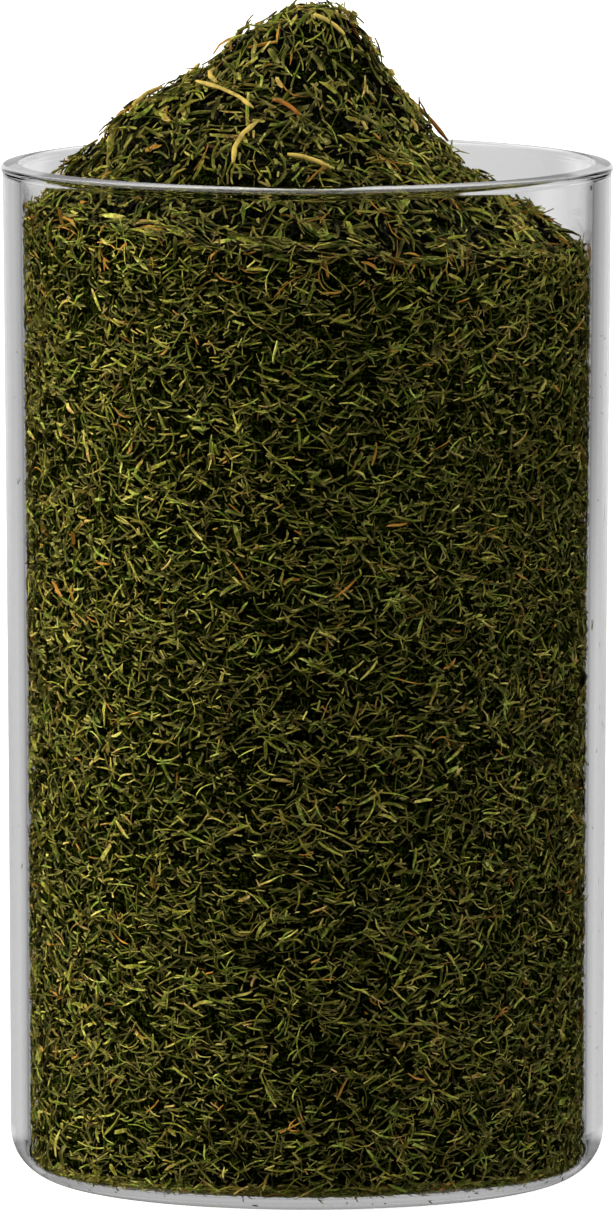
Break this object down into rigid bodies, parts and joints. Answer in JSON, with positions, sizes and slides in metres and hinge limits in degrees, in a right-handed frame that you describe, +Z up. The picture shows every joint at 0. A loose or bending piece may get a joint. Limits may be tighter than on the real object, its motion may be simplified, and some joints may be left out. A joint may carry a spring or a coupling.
{
  "type": "glass of dried dill",
  "caption": "Straight-sided clear glass tumbler filled with dried cut dill, heaped in a peaked mound above the rim.",
  "frame": {"origin": "centre of the tumbler's underside, where it stands", "axes": "+Z up along the tumbler's axis; -Y is the side seen from the front; the heap's steeper side faces +X"},
  "size_m": [0.08, 0.08, 0.1571],
  "materials": {
    "glass": "clear, colourless, fire-polished",
    "dill": "dry, matte, olive green",
    "straw_stalk": "dry, pale straw",
    "brown_stalk": "dry, orange brown"
  },
  "bodies": {
    "root": {"glass_tumbler": "glass", "dill_fill": "dill", "stalk_bit_01": "straw_stalk", "stalk_bit_02": "brown_stalk", "stalk_bit_03": "straw_stalk", "stalk_bit_04": "straw_stalk", "stalk_bit_05": "straw_stalk", "stalk_bit_06": "straw_stalk", "stalk_bit_07": "straw_stalk", "stalk_bit_08": "brown_stalk", "stalk_bit_09": "straw_stalk", "stalk_bit_10": "straw_stalk", "stalk_bit_11": "straw_stalk", "stalk_bit_12": "brown_stalk", "stalk_bit_13": "straw_stalk", "stalk_bit_14": "straw_stalk"}
  },
  "joints": []
}
